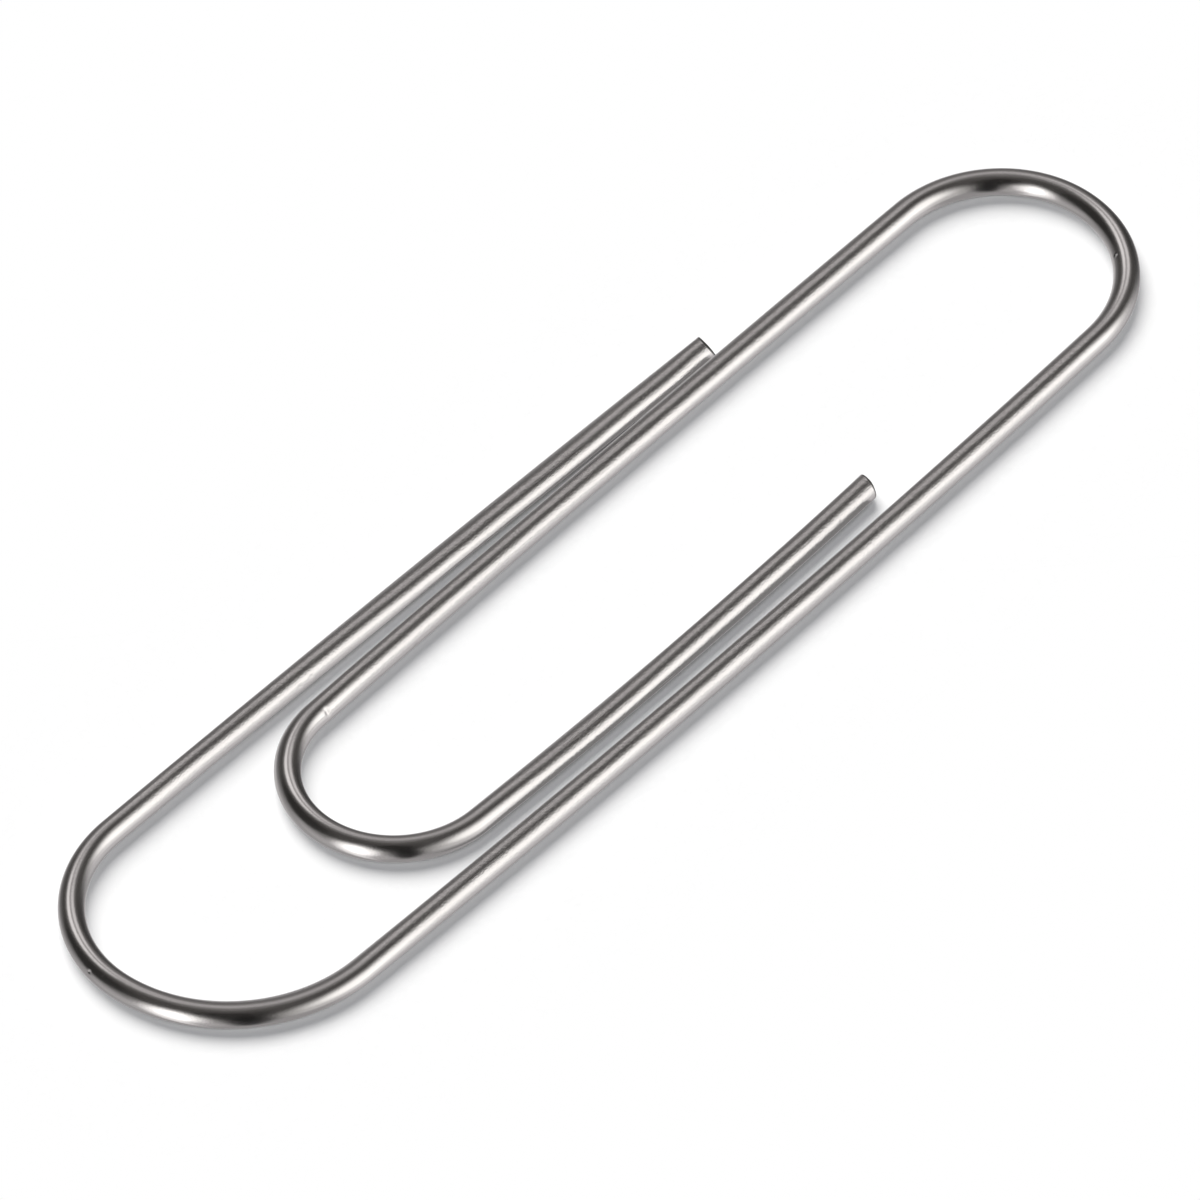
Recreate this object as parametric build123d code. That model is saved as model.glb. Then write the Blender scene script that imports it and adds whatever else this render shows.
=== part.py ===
from build123d import *
import math
import os

# Wire and overall size, in millimetres
wire_diameter = 0.95
clip_length = 50.0
end_loop_width = 12.0

# Clear gaps between neighbouring stretches of the wire, each taken as straight from end to end:
# the outer leg and the tongue side at the leg's foot and at its tip, and the tongue leg and the spine
loop_gap = 0.86
tip_gap = 0.15
tongue_gap = 0.58

# Lengths of the legs that do not reach from end to end
outer_leg_length = 30.4
tongue_side_length = 31.0
tongue_leg_length = 20.5

# Part of a bend's width that its first half takes, in the wire's order from the outer tip
end_bend_first_share = 0.455
top_bend_first_share = 0.52
tongue_bend_first_share = 0.5

# Degrees that each leg turns over its length, because the wire springs back from its bends
outer_leg_bow = 1.4
spine_bow = 3.8
tongue_side_bow = 1.15
tongue_leg_bow = 4.5

# Degrees that each sheared tip's face leans from square, upwards and towards the spine's side
outer_tip_rise = 26.0
outer_tip_swing = 14.0
tongue_tip_rise = 6.0
tongue_tip_swing = 17.0

wire_radius = wire_diameter / 2
quarter_turn = 90.0

# Each bend's width from wire centre to wire centre: a loop lies inside the last one, beside its wire
end_bend_width = end_loop_width - wire_diameter
top_bend_width = end_bend_width - wire_diameter - loop_gap
tongue_bend_width = top_bend_width - wire_diameter - tongue_gap

end_bend_first_radius = end_bend_width * end_bend_first_share
end_bend_second_radius = end_bend_width - end_bend_first_radius
top_bend_first_radius = top_bend_width * top_bend_first_share
top_bend_second_radius = top_bend_width - top_bend_first_radius
tongue_bend_first_radius = tongue_bend_width * tongue_bend_first_share
tongue_bend_second_radius = tongue_bend_width - tongue_bend_first_radius

# The outer leg leans in, from the loop's gap at its foot to the tip's gap at its tip
outer_leg_lean = math.degrees(math.asin((loop_gap - tip_gap) / outer_leg_length))

# The spine takes up the length that its two half bends leave
spine_half_bow = math.radians(spine_bow) / 2
bend_rise = (end_bend_second_radius + top_bend_first_radius) * (1 - math.sin(spine_half_bow))
spine_chord = clip_length - wire_diameter - bend_rise


def bow_radius(length, bow):
    """Radius of a leg that turns by its bow over its length."""
    return length / math.radians(bow)


# A free leg is swept past its tip and then sheared off
tip_overrun = wire_diameter
outer_leg_radius = bow_radius(outer_leg_length, outer_leg_bow)
outer_leg_sweep = math.degrees((outer_leg_length + tip_overrun) / outer_leg_radius)
tongue_leg_radius = bow_radius(tongue_leg_length, tongue_leg_bow)
tongue_leg_sweep = math.degrees((tongue_leg_length + tip_overrun) / tongue_leg_radius)
spine_radius = spine_chord / (2 * math.sin(spine_half_bow))

# Every stretch is an arc: its radius, and the degrees that it turns counter-clockwise
stretches = {
    "outer_leg": (outer_leg_radius, outer_leg_sweep),
    "end_bend_leg_half": (end_bend_first_radius, quarter_turn + outer_leg_lean - outer_leg_bow / 2),
    "end_bend_spine_half": (end_bend_second_radius, quarter_turn - spine_bow / 2),
    "spine": (spine_radius, spine_bow),
    "top_bend_spine_half": (top_bend_first_radius, quarter_turn - spine_bow / 2),
    "top_bend_tongue_half": (top_bend_second_radius, quarter_turn - tongue_side_bow / 2),
    "tongue_side": (bow_radius(tongue_side_length, tongue_side_bow), tongue_side_bow),
    "tongue_bend_tongue_half": (tongue_bend_first_radius, quarter_turn - tongue_side_bow / 2),
    "tongue_bend_leg_half": (tongue_bend_second_radius, quarter_turn - tongue_leg_bow / 2),
    "tongue_leg": (tongue_leg_radius, tongue_leg_sweep),
}


def wire_paths():
    """The wire's centre line, stretch by stretch, each starting where the last one ends and in its direction."""
    start_heading = -quarter_turn - outer_leg_lean - outer_leg_sweep + outer_leg_bow / 2
    point = Vector(0, 0)
    direction = Vector(1, 0).rotate(Axis.Z, start_heading)
    paths = {}
    for name, (radius, turn) in stretches.items():
        paths[name] = JernArc(point, direction, radius, turn)
        point = paths[name] @ 1
        direction = paths[name] % 1
    return paths


def drawn_wire(path):
    """Round wire along one stretch."""
    section = Plane(origin=path @ 0, z_dir=path % 0) * Circle(wire_radius)
    return sweep(section, path=path)


def sheared(leg, tip, outward, rise, swing):
    """A free leg cut off at its tip by a plane that leans from square."""
    sideways = outward.rotate(Axis.Z, -swing)
    face = sideways * math.cos(math.radians(rise)) + Vector(0, 0, math.sin(math.radians(rise)))
    return split(leg, bisect_by=Plane(origin=tip, z_dir=face), keep=Keep.BOTTOM)


paths = wire_paths()
pieces = {name: drawn_wire(path) for name, path in paths.items()}

outer_tip_share = tip_overrun / (outer_leg_length + tip_overrun)
pieces["outer_leg"] = sheared(
    pieces["outer_leg"],
    paths["outer_leg"] @ outer_tip_share,
    -(paths["outer_leg"] % outer_tip_share),
    outer_tip_rise,
    outer_tip_swing,
)
tongue_tip_share = tongue_leg_length / (tongue_leg_length + tip_overrun)
pieces["tongue_leg"] = sheared(
    pieces["tongue_leg"],
    paths["tongue_leg"] @ tongue_tip_share,
    paths["tongue_leg"] % tongue_tip_share,
    tongue_tip_rise,
    tongue_tip_swing,
)

# The origin is under the middle of the clip, on the surface that it lies on
box = Compound(list(pieces.values())).bounding_box()
to_origin = Pos(-box.center().X, -box.center().Y, wire_radius)

os.makedirs("parts", exist_ok=True)
for name, piece in pieces.items():
    export_step(to_origin * piece, f"parts/{name}.step")

for name, path in paths.items():
    end = (to_origin * path) @ 1
    print(f"{name}: ends at {end.X:.4f}, {end.Y:.4f}, {end.Z:.4f}")
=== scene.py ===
import math

import bpy
import numpy as np
from mathutils import Matrix, Vector


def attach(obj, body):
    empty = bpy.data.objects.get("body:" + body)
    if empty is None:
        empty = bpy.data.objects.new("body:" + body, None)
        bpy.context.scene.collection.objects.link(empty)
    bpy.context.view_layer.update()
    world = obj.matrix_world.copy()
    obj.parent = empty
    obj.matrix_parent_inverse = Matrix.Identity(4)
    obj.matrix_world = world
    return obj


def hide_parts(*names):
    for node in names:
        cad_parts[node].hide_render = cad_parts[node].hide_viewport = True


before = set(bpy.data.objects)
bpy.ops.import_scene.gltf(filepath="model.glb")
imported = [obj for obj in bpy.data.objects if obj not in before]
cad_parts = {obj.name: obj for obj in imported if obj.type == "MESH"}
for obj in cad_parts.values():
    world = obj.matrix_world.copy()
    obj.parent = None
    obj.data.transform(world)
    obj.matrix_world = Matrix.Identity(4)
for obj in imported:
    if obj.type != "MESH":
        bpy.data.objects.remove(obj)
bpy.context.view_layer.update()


# Outer leg
# The free leg on the outside, where the clip's single length of steel wire begins. The wire is drawn through
# a die, which leaves fine marks along it, and plated bright. A shear cuts it off aslant at this tip.
MM = 0.001
WIRE_RADIUS = 0.475
SIDES = 72


class Signal:
    """One output of a shader node. A sum on it adds Math nodes to its tree."""

    def __init__(self, tree, output):
        self.tree = tree
        self.output = output

    def node(self, kind, settings, sockets, output=0):
        """Adds a node, its settings first and then its sockets' values or links. Gives one of its outputs."""
        made = self.tree.nodes.new(kind)
        for name, value in settings.items():
            setattr(made, name, value)
        for name, value in sockets.items():
            if isinstance(value, Signal):
                self.tree.links.new(value.output, made.inputs[name])
            else:
                made.inputs[name].default_value = value
        return Signal(self.tree, made.outputs[output])

    def math(self, operation, first, second):
        return self.node("ShaderNodeMath", {"operation": operation}, {0: first, 1: second})

    def __add__(self, other):
        return self.math("ADD", self, other)

    __radd__ = __add__

    def __sub__(self, other):
        return self.math("SUBTRACT", self, other)

    def __rsub__(self, other):
        return self.math("SUBTRACT", other, self)

    def __mul__(self, other):
        return self.math("MULTIPLY", self, other)

    __rmul__ = __mul__


def new_finish(name):
    """A material with an empty tree, and its output node's only link still to be made."""
    finish = bpy.data.materials.new(name)
    finish.use_nodes = True
    finish.node_tree.nodes.clear()
    return finish


def show(finish, shader):
    """Joins a shader to its material's or its world's output."""
    kind = "ShaderNodeOutputMaterial" if isinstance(finish, bpy.types.Material) else "ShaderNodeOutputWorld"
    output = shader.tree.nodes.new(kind)
    shader.tree.links.new(shader.output, output.inputs["Surface"])


def straight_wire(tree):
    """Where a point was before the wire was bent: millimetres along the wire, and across it both ways."""
    place = tree.nodes.new("ShaderNodeAttribute")
    place.attribute_name = "straight_wire"
    return Signal(tree, place.outputs["Vector"])


def grain(place, along, across, detail):
    """Even noise, with so many features to a millimetre along the wire and across it."""
    stretched = place.node(
        "ShaderNodeVectorMath", {"operation": "MULTIPLY"}, {0: place, 1: (along, across, across)}
    )
    return place.node(
        "ShaderNodeTexNoise",
        {"noise_dimensions": "3D"},
        {"Vector": stretched, "Scale": 1.0, "Detail": detail},
    )


def mixed_colour(share, first, second):
    """A colour between two, by share."""
    return share.node("ShaderNodeMix", {"data_type": "RGBA"}, {0: share, 6: first, 7: second}, 2)


def soft_edge(value, nothing, full):
    """From 0 to 1 as a value goes from one end to the other, smooth at both."""
    return value.node(
        "ShaderNodeMapRange",
        {"interpolation_type": "SMOOTHSTEP"},
        {"Value": value, "From Min": nothing, "From Max": full, "To Min": 0.0, "To Max": 1.0},
    )


# The plating is bright, a little warm, and not quite even. The die's marks run along the wire for
# millimetres, the feed rollers leave short marks across it, and the whole surface has a fine grain. The
# bending pin and the stretch of the bend smooth most of this away in the three bends.
BENDS_ALONG_WIRE = ((30.4, 47.6), (86.2, 100.5), (131.5, 143.4))
SMOOTH_BEYOND_BEND = 3.0
SMOOTH_WITHIN_BEND = 1.0
drawn_steel = new_finish("drawn_steel")
place = straight_wire(drawn_steel.node_tree)
along_wire = place.node("ShaderNodeSeparateXYZ", {}, {"Vector": place})
burnished = 0.0
for bend_start, bend_end in BENDS_ALONG_WIRE:
    past_start = soft_edge(along_wire, bend_start - SMOOTH_BEYOND_BEND, bend_start + SMOOTH_WITHIN_BEND)
    before_end = soft_edge(along_wire, bend_end + SMOOTH_BEYOND_BEND, bend_end - SMOOTH_WITHIN_BEND)
    burnished = burnished + past_start * before_end
die_marks = grain(place, 0.2, 6.0, 3.0)
roller_marks = grain(place, 4.5, 1.6, 2.0)
plating_grain = grain(place, 14.0, 16.0, 1.0)
waves = grain(place, 0.45, 0.7, 1.0)
marks = 6.0 * die_marks + 6.0 * roller_marks + 9.0 * plating_grain
relief = marks * (1.0 - 0.82 * burnished) + 30.0 * waves
bumped = place.node("ShaderNodeBump", {}, {"Strength": 1.0, "Distance": 1.0e-6, "Height": relief})
tint = mixed_colour(grain(place, 0.3, 0.9, 2.0), (0.60, 0.582, 0.567, 1.0), (0.65, 0.631, 0.613, 1.0))
steel = place.node(
    "ShaderNodeBsdfPrincipled",
    {},
    {
        "Base Color": tint,
        "Metallic": 1.0,
        "Roughness": 0.22 + 0.08 * die_marks - 0.07 * burnished,
        "Normal": bumped,
    },
)
show(drawn_steel, steel)

# A sheared face is bare steel, dull, with marks where the blade slid through it. Its colour and the tint of
# its grazing reflection are also set darker than the steel's: a painted shade for the dark that the tip
# mirrors from the wires and shadows beside it.
sheared_steel_and_painted_shade = new_finish("sheared_steel_and_painted_shade")
place = straight_wire(sheared_steel_and_painted_shade.node_tree)
blade_marks = grain(place, 2.0, 22.0, 3.0)
torn_grain = grain(place, 16.0, 16.0, 3.0)
bumped = place.node(
    "ShaderNodeBump", {}, {"Strength": 1.0, "Distance": 4.0e-6, "Height": blade_marks + 1.4 * torn_grain}
)
steel = place.node(
    "ShaderNodeBsdfPrincipled",
    {},
    {
        # Painted shade: this colour is darker than bare steel, so that the tip and its rim look dark.
        "Base Color": mixed_colour(torn_grain, (0.26, 0.255, 0.25, 1.0), (0.38, 0.37, 0.36, 1.0)),
        "Metallic": 1.0,
        "Roughness": 0.36 + 0.18 * torn_grain,
        "Specular Tint": (0.30, 0.30, 0.30, 1.0),
        "Normal": bumped,
    },
)
show(sheared_steel_and_painted_shade, steel)


class Stretch:
    """A stretch of the wire's centre line: an arc that turns to the left by so many degrees from a start
    and a heading. run is the length of wire before it. Lengths are in millimetres."""

    def __init__(self, start, heading, bend_radius, turn, run):
        self.start = np.array(start)
        self.heading = heading
        self.bend_radius = bend_radius
        self.turn = turn
        self.run = run
        self.length = bend_radius * math.radians(turn)

    def frame_at(self, along):
        """Centre, direction and right-hand side at a distance along the stretch, or past its ends."""
        angle = math.radians(self.heading) + along / self.bend_radius
        direction = np.stack([np.cos(angle), np.sin(angle), np.zeros_like(angle)], axis=-1)
        side = np.stack([np.sin(angle), -np.cos(angle), np.zeros_like(angle)], axis=-1)
        first = math.radians(self.heading)
        pivot = self.start - self.bend_radius * np.array([math.sin(first), -math.cos(first)])
        centre = self.bend_radius * side
        centre[..., :2] += pivot
        centre[..., 2] += WIRE_RADIUS
        return centre, direction, side

    def next(self, bend_radius, turn):
        """The stretch that goes on from this one's end."""
        centre = self.frame_at(np.array(self.length))[0]
        return Stretch(centre[:2], self.heading + self.turn, bend_radius, turn, self.run + self.length)


def wire_surface(stretch, along, around, radius, dents):
    """Points on the wire's skin. A dent is its distance along, its angle round from the top to the right,
    its half length, its half width and its depth."""
    centre, direction, side = stretch.frame_at(along)
    for where, angle, half_length, half_width, depth in dents:
        sideways = (around - math.radians(angle) + math.pi) % (2 * math.pi) - math.pi
        reach = ((along - where) / half_length) ** 2 + (sideways * WIRE_RADIUS / half_width) ** 2
        radius = radius - depth * np.exp(-reach)
    out = np.sin(around)[..., None] * side
    out[..., 2] += np.cos(around)
    return centre + radius[..., None] * out


# The bands of light on a real wire wander round it. Each pair is a distance along the wire and the degrees
# that its skin leans to the right of true round there.
WANDER = np.array(
    [(0.5, 0.0), (2.5, 8.5), (8.0, 14.0), (12.0, 13.5), (27.0, -1.5), (39.0, -2.5), (45.0, -11.0),
     (54.0, 0.0), (66.0, 3.6), (86.0, -3.3), (94.0, 2.5), (97.0, 2.0), (108.0, 7.0), (129.0, -1.8),
     (135.0, 5.2), (142.0, -2.0), (149.0, -8.8), (156.0, 1.0), (164.0, -0.5)]
)


def wander(along):
    """The skin's lean at a distance along the wire, in radians."""
    before = np.clip(np.searchsorted(WANDER[:, 0], along) - 1, 0, len(WANDER) - 2)
    start, end = WANDER[before], WANDER[before + 1]
    share = np.clip((along - start[..., 0]) / (end[..., 0] - start[..., 0]), 0.0, 1.0)
    return np.radians(start[..., 1] + share ** 2 * (3 - 2 * share) * (end[..., 1] - start[..., 1]))


def ring_places(stretch, dents):
    """Distances along a stretch where rings go: closer round a bend, and closest at its dents."""
    spacing = min(0.4, stretch.bend_radius * math.radians(2.5))
    places = [np.linspace(0.0, stretch.length, round(stretch.length / spacing) + 1)]
    for where, angle, half_length, half_width, depth in dents:
        near = where + half_length * np.linspace(-2.5, 2.5, 21)
        places.append(near[(near > 0.01) & (near < stretch.length - 0.01)])
    return np.unique(np.concatenate(places).round(4))


# Rings of faces at a sheared tip that take the sheared steel, with its painted shade: its face and the whole
# of its rounded rim
SHEARED_AND_SHADED_RINGS = 10


class Cut:
    """A sheared tip: degrees that its face leans up and towards the spine's side, its rim's rounding and
    its crown."""

    def __init__(self, rise, swing, rim, crown):
        self.rise = math.radians(rise)
        self.swing = math.radians(swing)
        self.rim = rim
        self.crown = crown

    def rings(self, stretch, at_start, around):
        """Distance along and radius of the rings that round the rim and close the face, from the skin in."""
        end = 0.0 if at_start else stretch.length
        centre, direction, side = stretch.frame_at(np.array(end))
        outward = -direction if at_start else direction
        cosine = math.cos(self.swing)
        sine = math.sin(self.swing)
        turn = np.array([[cosine, sine], [-sine, cosine]])
        face = np.append(turn @ outward[:2], 0.0) * math.cos(self.rise)
        face[2] = math.sin(self.rise)
        lean = -(np.sin(around) * (side @ face) + np.cos(around) * face[2]) / (outward @ face)
        profile = [(WIRE_RADIUS, -2.5 * self.rim), (WIRE_RADIUS, -1.7 * self.rim)]
        for angle in np.radians(np.linspace(0, 90, 7)):
            profile.append((WIRE_RADIUS - self.rim * (1 - math.cos(angle)), self.rim * (math.sin(angle) - 1)))
        inner = WIRE_RADIUS - self.rim
        for share in (0.8, 0.6, 0.4, 0.2):
            profile.append((inner * share, self.crown * (1 - share ** 2)))
        sign = -1.0 if at_start else 1.0
        rings = []
        for radius, depth in profile:
            rings.append((end + sign * (lean * radius + depth), np.full_like(around, radius)))
        return rings, end + sign * self.crown


def bend_wire(name, stretch, dents=(), start_cut=None, end_cut=None):
    """A closed mesh of one stretch of wire, with its draw marks' places. Each end is a flat joint or a
    sheared tip."""
    around = np.arange(SIDES) * 2 * math.pi / SIDES
    along = [np.full(SIDES, place) for place in ring_places(stretch, dents)]
    radius = [np.full(SIDES, WIRE_RADIUS) for ring in along]
    ends = [0.0, stretch.length]
    first_face = 0
    last_face = 0
    for cut, at_start in ((start_cut, True), (end_cut, False)):
        if not cut:
            continue
        rings, tip = cut.rings(stretch, at_start, around)
        # The plain rings stop a wire's radius short of the tip, where the cut's own rings take over.
        if at_start:
            kept = [k for k, ring in enumerate(along) if ring[0] > WIRE_RADIUS]
        else:
            kept = [k for k, ring in enumerate(along) if ring[0] < stretch.length - WIRE_RADIUS]
        along = [along[k] for k in kept]
        radius = [radius[k] for k in kept]
        if at_start:
            rings = rings[::-1]
            along = [ring[0] for ring in rings] + along
            radius = [ring[1] for ring in rings] + radius
            ends[0] = tip
            first_face = SHEARED_AND_SHADED_RINGS
        else:
            along = along + [ring[0] for ring in rings]
            radius = radius + [ring[1] for ring in rings]
            ends[1] = tip
            last_face = SHEARED_AND_SHADED_RINGS
    along = np.array(along)
    radius = np.array(radius)
    rings = len(along)
    turn = np.broadcast_to(around, along.shape)
    points = wire_surface(stretch, along, turn, radius, dents)
    # The skin's slope is worked out where it lies, so that it runs on across the joints.
    step = 0.002
    lengthways = wire_surface(stretch, along + step, turn, radius, dents) - wire_surface(
        stretch, along - step, turn, radius, dents
    )
    crossways = wire_surface(stretch, along, turn + step, radius, dents) - wire_surface(
        stretch, along, turn - step, radius, dents
    )
    normals = np.cross(crossways, lengthways)
    normals /= np.linalg.norm(normals, axis=-1, keepdims=True)
    lean = wander(stretch.run + along)[..., None]
    normals = normals * np.cos(lean) + np.cross(stretch.frame_at(along)[1], normals) * np.sin(lean)
    centres, directions, sides = stretch.frame_at(np.array(ends))
    vertices = np.concatenate([points.reshape(-1, 3), centres]) * MM
    place = np.stack([stretch.run + along, radius * np.sin(turn), radius * np.cos(turn)], axis=-1)
    middle = np.stack([stretch.run + np.array(ends), np.zeros(2), np.zeros(2)], axis=-1)
    place = np.concatenate([place.reshape(-1, 3), middle])
    faces = []
    finish = []
    for ring in range(rings - 1):
        low = ring * SIDES
        for k in range(SIDES):
            after = (k + 1) % SIDES
            faces.append((low + k, low + after, low + SIDES + after, low + SIDES + k))
            finish.append(1 if ring < first_face or ring >= rings - 1 - last_face else 0)
    last = (rings - 1) * SIDES
    for k in range(SIDES):
        after = (k + 1) % SIDES
        faces.append((rings * SIDES, after, k))
        faces.append((rings * SIDES + 1, last + k, last + after))
        finish.append(1 if start_cut else 0)
        finish.append(1 if end_cut else 0)
    mesh = bpy.data.meshes.new(name)
    mesh.from_pydata(vertices.tolist(), [], faces)
    mesh.materials.append(drawn_steel)
    mesh.materials.append(sheared_steel_and_painted_shade)
    mesh.polygons.foreach_set("material_index", finish)
    mesh.polygons.foreach_set("use_smooth", [True] * len(faces))
    mesh.attributes.new("straight_wire", "FLOAT_VECTOR", "POINT").data.foreach_set("vector", place.ravel())
    piece = bpy.data.objects.new(name, mesh)
    bpy.context.scene.collection.objects.link(piece)
    return piece, normals, directions


def smooth_skin(piece, normals, directions, start_cut=None, end_cut=None):
    """Gives a stretch its worked-out slopes and its flat joints theirs. A sheared tip keeps its mesh's."""
    mesh = piece.data
    corner = np.empty(len(mesh.loops), int)
    mesh.loops.foreach_get("vertex_index", corner)
    flat = np.empty(len(mesh.loops) * 3, np.float32)
    mesh.corner_normals.foreach_get("vector", flat)
    flat = flat.reshape(-1, 3)
    skin = normals.reshape(-1, 3)
    rings = len(normals)
    ring = corner // SIDES
    keep = ring < rings
    if start_cut:
        keep &= ring > SHEARED_AND_SHADED_RINGS
    if end_cut:
        keep &= ring < rings - 1 - SHEARED_AND_SHADED_RINGS
    flat[keep] = skin[corner[keep]]
    fans = len(mesh.polygons) - 2 * SIDES
    for k in range(fans, len(mesh.polygons)):
        at_start = (k - fans) % 2 == 0
        if (start_cut if at_start else end_cut) is None:
            corners = mesh.polygons[k].loop_indices
            flat[corners.start:corners.stop] = -directions[0] if at_start else directions[1]
    mesh.normals_split_custom_set(flat.tolist())


outer_leg = Stretch(start=(-4.973, 10.950), heading=-92.0383, bend_radius=1244.137, turn=1.4, run=0.0)
outer_tip = Cut(rise=26.0, swing=14.0, rim=0.06, crown=0.03)
outer_leg_marks = [(20.67, -67.0, 0.12, 0.08, 0.014), (21.25, -71.0, 0.12, 0.07, 0.014)]
outer_leg_wire, skin, ends = bend_wire("outer_leg_wire", outer_leg, outer_leg_marks, start_cut=outer_tip)
smooth_skin(outer_leg_wire, skin, ends, start_cut=outer_tip)
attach(outer_leg_wire, "outer_leg")
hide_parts("outer_leg")


# End bend
# The large bend at the end with two loops, from the outer leg round to the spine. The wire is bent round a
# pin in one stroke. It is drawn here as two halves that meet at the crown, where the leg twists against the
# spine.
end_bend_leg_half = outer_leg.next(bend_radius=5.0278, turn=90.6383)
end_bend_marks = [(6.96, 63.0, 0.06, 0.055, 0.038)]
end_bend_leg_wire, skin, ends = bend_wire("end_bend_leg_half_wire", end_bend_leg_half, end_bend_marks)
smooth_skin(end_bend_leg_wire, skin, ends)
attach(end_bend_leg_wire, "outer_leg")
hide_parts("end_bend_leg_half")

end_bend_spine_half = end_bend_leg_half.next(bend_radius=6.0223, turn=88.1)
end_bend_spine_wire, skin, ends = bend_wire("end_bend_spine_half_wire", end_bend_spine_half)
smooth_skin(end_bend_spine_wire, skin, ends)
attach(end_bend_spine_wire, "spine")
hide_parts("end_bend_spine_half")


# Spine
# The long side that both loops share, the middle of the same wire. It bows a little, because the bends at its
# two ends spring back after bending.
spine = end_bend_spine_half.next(bend_radius=581.839, turn=3.8)
spine_wire, skin, ends = bend_wire("spine_wire", spine)
smooth_skin(spine_wire, skin, ends)
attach(spine_wire, "spine")
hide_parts("spine")


# Top bend
# The bend at the end with one loop, from the spine to the tongue, bent round a slightly smaller pin. It is
# drawn as two halves that meet at the crown, where the tongue twists against the spine.
top_bend_spine_half = spine.next(bend_radius=4.8048, turn=88.1)
top_bend_marks = [(4.00, -45.0, 0.055, 0.06, 0.060)]
top_bend_spine_wire, skin, ends = bend_wire("top_bend_spine_half_wire", top_bend_spine_half, top_bend_marks)
smooth_skin(top_bend_spine_wire, skin, ends)
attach(top_bend_spine_wire, "spine")
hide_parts("top_bend_spine_half")

top_bend_tongue_half = top_bend_spine_half.next(bend_radius=4.4352, turn=89.425)
top_bend_tongue_wire, skin, ends = bend_wire("top_bend_tongue_half_wire", top_bend_tongue_half)
smooth_skin(top_bend_tongue_wire, skin, ends)
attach(top_bend_tongue_wire, "tongue")
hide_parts("top_bend_tongue_half")


# Tongue side
# The straight side of the tongue, close beside the outer leg. The bending tool leaves a notch where the
# tongue's own bend begins, and a nick on its lower side.
tongue_side = top_bend_tongue_half.next(bend_radius=1544.495, turn=1.15)
tongue_side_marks = [(30.80, -58.0, 0.10, 0.15, 0.034), (26.25, -100.0, 0.08, 0.07, 0.018)]
tongue_side_wire, skin, ends = bend_wire("tongue_side_wire", tongue_side, tongue_side_marks)
smooth_skin(tongue_side_wire, skin, ends)
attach(tongue_side_wire, "tongue")
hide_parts("tongue_side")


# Tongue bend
# The innermost and tightest bend, inside the end bend. It is drawn as two halves that meet at the crown,
# where the tongue's free leg twists against its side.
tongue_bend_tongue_half = tongue_side.next(bend_radius=3.855, turn=89.425)
tongue_bend_tongue_wire, skin, ends = bend_wire("tongue_bend_tongue_half_wire", tongue_bend_tongue_half)
smooth_skin(tongue_bend_tongue_wire, skin, ends)
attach(tongue_bend_tongue_wire, "tongue")
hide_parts("tongue_bend_tongue_half")

tongue_bend_leg_half = tongue_bend_tongue_half.next(bend_radius=3.855, turn=87.75)
tongue_bend_leg_wire, skin, ends = bend_wire("tongue_bend_leg_half_wire", tongue_bend_leg_half)
smooth_skin(tongue_bend_leg_wire, skin, ends)
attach(tongue_bend_leg_wire, "tongue_leg")
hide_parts("tongue_bend_leg_half")


# Tongue leg
# The free leg on the inside, where the wire ends. It is sheared off nearly square, and its rim is rounder
# than the outer tip's.
tongue_leg = tongue_bend_leg_half.next(bend_radius=261.014, turn=4.5)
tongue_tip = Cut(rise=6.0, swing=17.0, rim=0.08, crown=0.12)
tongue_leg_marks = [(18.45, 66.0, 0.08, 0.10, 0.010)]
tongue_leg_wire, skin, ends = bend_wire("tongue_leg_wire", tongue_leg, tongue_leg_marks, end_cut=tongue_tip)
smooth_skin(tongue_leg_wire, skin, ends, end_cut=tongue_tip)
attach(tongue_leg_wire, "tongue_leg")
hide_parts("tongue_leg")


# Table
# A plain white table top that the clip lies on, matt and evenly lit. Part of its white is its own, so that
# the clip's shadow on it stays a soft grey. Where two wires nearly touch and little sky is open, shade is
# painted on it: its colour goes dark grey and its own white fades out.
TABLE_HALF = 1.5
OWN_WHITE = 0.24
NEAR_WIRES = 2.0
ROUND_WIRES = 6.0
corners = [(-1, -1), (1, -1), (1, 1), (-1, 1)]
table_mesh = bpy.data.meshes.new("table_top")
table_mesh.from_pydata([(x * TABLE_HALF, y * TABLE_HALF, 0.0) for x, y in corners], [], [(0, 1, 2, 3)])
table_top = bpy.data.objects.new("table_top", table_mesh)
bpy.context.scene.collection.objects.link(table_top)
table_white = new_finish("table_white")
tree = table_white.node_tree
path = Signal(tree, tree.nodes.new("ShaderNodeLightPath").outputs["Is Camera Ray"])
open_sky = path.node("ShaderNodeAmbientOcclusion", {"samples": 8}, {"Distance": NEAR_WIRES * MM}, 1)
# Painted shade: where the wires leave little sky open, the table turns dark grey and loses its own white.
clear = soft_edge(open_sky, 0.10, 0.24)
table_colour_with_painted_shade = mixed_colour(clear, (0.40, 0.40, 0.40, 1.0), (0.91, 0.90, 0.885, 1.0))
matt = path.node("ShaderNodeBsdfDiffuse", {}, {"Color": table_colour_with_painted_shade})
white = path.node("ShaderNodeEmission", {}, {"Color": (0.97, 1.0, 1.05, 1.0), "Strength": 1.0})
table_top_white = path.node("ShaderNodeMixShader", {}, {0: OWN_WHITE * path * clear, 1: matt, 2: white})
# The camera sees through the table to the same white wherever no wire is near above it, so that it does not
# hide a leg that swings below it. Close to the wires it stays solid, and hides what is under it there.
wide_sky = path.node("ShaderNodeAmbientOcclusion", {"samples": 16}, {"Distance": ROUND_WIRES * MM}, 1)
bare = path * soft_edge(wide_sky, 0.86, 0.96)
glass = path.node("ShaderNodeBsdfTransparent", {}, {})
show(table_white, path.node("ShaderNodeMixShader", {}, {0: bare, 1: table_top_white, 2: glass}))
table_white.use_transparent_shadow = False
table_mesh.materials.append(table_white)
table_top.visible_glossy = False


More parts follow.
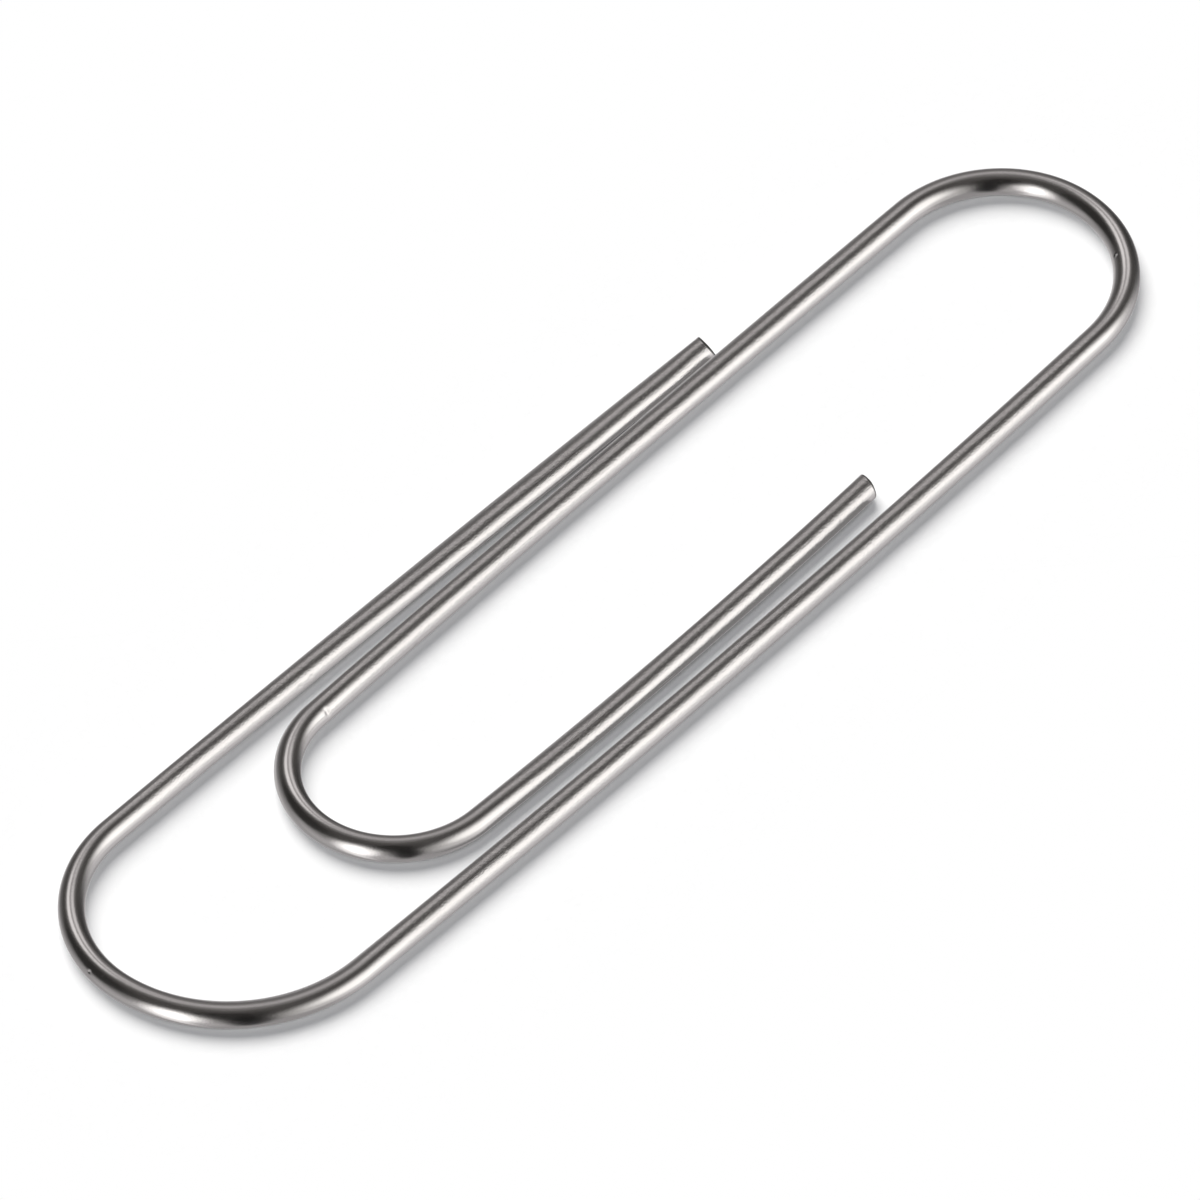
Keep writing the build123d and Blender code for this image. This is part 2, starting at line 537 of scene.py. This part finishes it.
# Key light
# One large soft light high on the left, which lays the clip's shadow to its lower right.
KEY_BEARING = 156.0
KEY_HEIGHT = 48.5
KEY_WIDTH = 57.0
KEY_STRENGTH = 4.95
key_lamp = bpy.data.lights.new("key_light", "SUN")
key_lamp.energy = KEY_STRENGTH
key_lamp.angle = math.radians(KEY_WIDTH)
key_light = bpy.data.objects.new("key_light", key_lamp)
bpy.context.scene.collection.objects.link(key_light)
key_light.rotation_euler = (0.0, math.radians(90.0 - KEY_HEIGHT), math.radians(KEY_BEARING))
key_light.visible_glossy = False


# Studio
# What the bright wire mirrors: a dim room over a pale table, one broad soft panel to the right, a narrow one
# to the left of the camera, the dark side behind the camera, and a faint light on the wall at the back. Only
# mirrored rays see this room. The camera sees plain white.
# Each panel: its colour; its bearing and half width; its height and half extent; the softness of its edge.
# Angles are in degrees, and bearings go round from the clip's right to its far end.
PANELS = [
    ((0.450, 0.447, 0.445), 17.0, 46.0, 15.0, 43.0, 0.5),
    ((1.080, 1.073, 1.066), 21.0, 28.0, 20.0, 24.0, 1.0),
    ((0.300, 0.294, 0.302), 44.0, 30.0, -23.0, 41.0, 1.0),
    ((1.300, 1.294, 1.296), -80.0, 14.0, 6.0, 34.0, 0.9),
    ((0.750, 0.744, 0.748), -89.0, 13.0, -10.0, 56.0, 0.8),
    ((0.110, 0.109, 0.110), -93.0, 47.0, -15.0, 47.0, 0.3),
    ((0.190, 0.184, 0.188), 135.0, 40.0, 44.0, 17.0, 1.0),
    ((0.950, 0.932, 0.940), 157.0, 14.0, 47.0, 9.0, 1.0),
    ((0.600, 0.588, 0.594), 118.0, 13.0, 43.0, 8.0, 1.0),
    ((0.120, 0.116, 0.119), 133.0, 23.0, 21.0, 47.0, 0.9),
    ((0.100, 0.097, 0.099), 142.0, 46.0, 70.0, 14.0, 1.0),
    ((0.120, 0.118, 0.118), 40.0, 18.0, 54.0, 10.0, 1.0),
    ((0.250, 0.247, 0.247), 150.0, 40.0, -38.0, 22.0, 1.0),
]
# Each dark patch: the share of the light that it takes, and the same five angles and softness.
DARKS = [
    (0.70, -56.0, 27.0, 52.0, 28.0, 1.0),
    (0.95, -43.0, 12.0, 2.0, 50.0, 0.7),
    (0.68, 102.0, 28.0, -8.0, 22.0, 1.0),
    (0.60, -141.0, 32.0, 30.0, 27.0, 0.6),
    (0.30, 150.0, 32.0, -6.0, 18.0, 1.0),
]
ROOM_FLOOR = (0.425, 0.416, 0.425)
ROOM_WALL = (0.088, 0.084, 0.082)
ROOM_CEILING = (0.118, 0.113, 0.111)

studio = bpy.data.worlds.new("studio")
bpy.context.scene.world = studio
studio.use_nodes = True
studio.node_tree.nodes.clear()
studio.cycles.sampling_method = "NONE"
tree = studio.node_tree
seen = Signal(tree, tree.nodes.new("ShaderNodeTexCoord").outputs["Generated"])
axes = [seen.node("ShaderNodeSeparateXYZ", {}, {"Vector": seen}, k) for k in range(3)]
bearing = seen.math("ARCTAN2", axes[1], axes[0]) * math.degrees(1.0)
height = seen.node("ShaderNodeMath", {"operation": "ARCSINE"}, {0: axes[2]}) * math.degrees(1.0)


def panel_shape(at_bearing, half_width, at_height, half_extent, edge):
    """A soft round-cornered patch of the room: 1 inside and 0 outside."""
    turned = bearing - at_bearing
    off = bearing.node("ShaderNodeMath", {"operation": "WRAP"}, {0: turned, 1: 180.0, 2: -180.0})
    across = off * (1.0 / half_width)
    upright = (height - at_height) * (1.0 / half_extent)
    out = off.node("ShaderNodeMath", {"operation": "SQRT"}, {0: across * across + upright * upright})
    return soft_edge(out, 1.0 + edge / 2, 1.0 - edge / 2)


def lit(colour, share):
    """Light of a colour, by share."""
    return share.node("ShaderNodeVectorMath", {"operation": "SCALE"}, {0: colour, "Scale": share})


def together(first, second):
    """Two lights added."""
    return first.node("ShaderNodeVectorMath", {"operation": "ADD"}, {0: first, 1: second})


above = soft_edge(height, -30.0, 20.0)
overhead = soft_edge(height, 70.0, 88.0)
room = lit(ROOM_FLOOR, 1.0 - above)
room = together(room, lit(ROOM_WALL, above * (1.0 - overhead)))
room = together(room, lit(ROOM_CEILING, overhead))
for colour, *shape in PANELS:
    room = together(room, lit(colour, panel_shape(*shape)))
for share, *shape in DARKS:
    room = room.node(
        "ShaderNodeVectorMath", {"operation": "SCALE"}, {0: room, "Scale": 1.0 - share * panel_shape(*shape)}
    )
path = tree.nodes.new("ShaderNodeLightPath")
camera_ray = Signal(tree, path.outputs["Is Camera Ray"])
glossy_ray = Signal(tree, path.outputs["Is Glossy Ray"])
dim = seen.node("ShaderNodeBackground", {}, {"Color": (1.0, 1.0, 1.0, 1.0), "Strength": 0.03})
mirrored = seen.node("ShaderNodeBackground", {}, {"Color": room, "Strength": 1.0})
white = seen.node("ShaderNodeBackground", {}, {"Color": (1.0, 1.0, 1.0, 1.0), "Strength": 1.0})
sky = seen.node("ShaderNodeMixShader", {}, {0: glossy_ray, 1: dim, 2: mirrored})
show(studio, seen.node("ShaderNodeMixShader", {}, {0: camera_ray, 1: sky, 2: white}))


# Shaded table
# The strips of table between the legs, where each leg keeps the light from the other. The table and the wires
# are hidden from mirrored rays, and these strips stand in for them there. Only the wire's reflections show
# them.
STRIP_STEPS = 60
STRIP_LIFT = 0.002
STRIP_NEAR_EDGE = 0.5
shade = new_finish("shaded_table")
tree = shade.node_tree
dim_glow = tree.nodes.new("ShaderNodeEmission")
dim_glow.inputs["Color"].default_value = (0.28, 0.275, 0.28, 1.0)
show(shade, Signal(tree, dim_glow.outputs["Emission"]))


def shaded_strip(name, stretch, side_sign, edges):
    """A strip along a leg, on its right or its left. Each of its edges' places is a distance along the leg,
    the far edge's distance from the leg's centre, and its height."""
    edges = np.array(edges)
    along = np.linspace(edges[0, 0], edges[-1, 0], STRIP_STEPS)
    centre, direction, side = stretch.frame_at(along)
    centre[:, 2] = STRIP_LIFT
    near = centre + side_sign * STRIP_NEAR_EDGE * side
    far = centre + side_sign * np.interp(along, edges[:, 0], edges[:, 1])[:, None] * side
    far[:, 2] += np.interp(along, edges[:, 0], edges[:, 2])
    faces = [(k, k + 1, STRIP_STEPS + k + 1, STRIP_STEPS + k) for k in range(STRIP_STEPS - 1)]
    mesh = bpy.data.meshes.new(name)
    mesh.from_pydata((np.concatenate([near, far]) * MM).tolist(), [], faces)
    mesh.materials.append(shade)
    strip = bpy.data.objects.new(name, mesh)
    bpy.context.scene.collection.objects.link(strip)
    strip.visible_camera = False
    strip.visible_diffuse = False
    strip.visible_shadow = False
    strip.visible_transmission = False


outer_edges = [(0.2, 1.05, 0.70), (3.5, 1.05, 0.52), (7.0, 1.0, 0.27), (12.0, 0.95, 0.1), (17.0, 0.5, 0.0)]
shaded_strip("shade_by_outer_leg", outer_leg, -1.0, outer_edges)
tongue_edges = [(-3.0, 0.5, 0.0), (4.0, 1.3, 0.45), (20.2, 1.3, 0.50)]
shaded_strip("shade_by_tongue_leg", tongue_leg, 1.0, tongue_edges)
wires = [outer_leg_wire, end_bend_leg_wire, end_bend_spine_wire, spine_wire, top_bend_spine_wire]
wires += [top_bend_tongue_wire, tongue_side_wire, tongue_bend_tongue_wire, tongue_bend_leg_wire]
wires += [tongue_leg_wire]
for wire in wires:
    wire.visible_glossy = False


# Camera
# A long lens from the front right, looking down on the clip, and rolled a little, as the photograph has it.
CAMERA_BEARING = 44.596
CAMERA_HEIGHT = 47.134
CAMERA_ROLL = -3.917
CAMERA_DISTANCE = 0.9
LENS_PIXELS = 25801.5
PICTURE_PIXELS = 1200.0
SENSOR_WIDTH = 36.0
CLIP_RIGHT_OF_MIDDLE = 7.116
CLIP_ABOVE_MIDDLE = 1.543
turn = math.radians(CAMERA_BEARING)
tilt = math.radians(CAMERA_HEIGHT)
roll = math.radians(CAMERA_ROLL)
level = np.array([math.cos(turn), math.sin(turn), 0.0])
raised = np.array([-math.sin(tilt) * math.sin(turn), math.sin(tilt) * math.cos(turn), math.cos(tilt)])
right = math.cos(roll) * level + math.sin(roll) * raised
up = math.cos(roll) * raised - math.sin(roll) * level
back = np.cross(right, up)
pixel = CAMERA_DISTANCE / LENS_PIXELS
aim = -pixel * (CLIP_RIGHT_OF_MIDDLE * right + CLIP_ABOVE_MIDDLE * up)
camera_data = bpy.data.cameras.new("camera")
camera_data.sensor_width = SENSOR_WIDTH
camera_data.lens = SENSOR_WIDTH * LENS_PIXELS / PICTURE_PIXELS
camera_data.clip_start = 0.1
camera_data.clip_end = 10.0
camera = bpy.data.objects.new("camera", camera_data)
bpy.context.scene.collection.objects.link(camera)
eye = aim + CAMERA_DISTANCE * back
camera.matrix_world = Matrix.LocRotScale(
    Vector(eye), Matrix(np.stack([right, up, back], axis=1).tolist()), Vector((1.0, 1.0, 1.0))
)
bpy.context.scene.camera = camera
bpy.context.scene.view_settings.view_transform = "Standard"
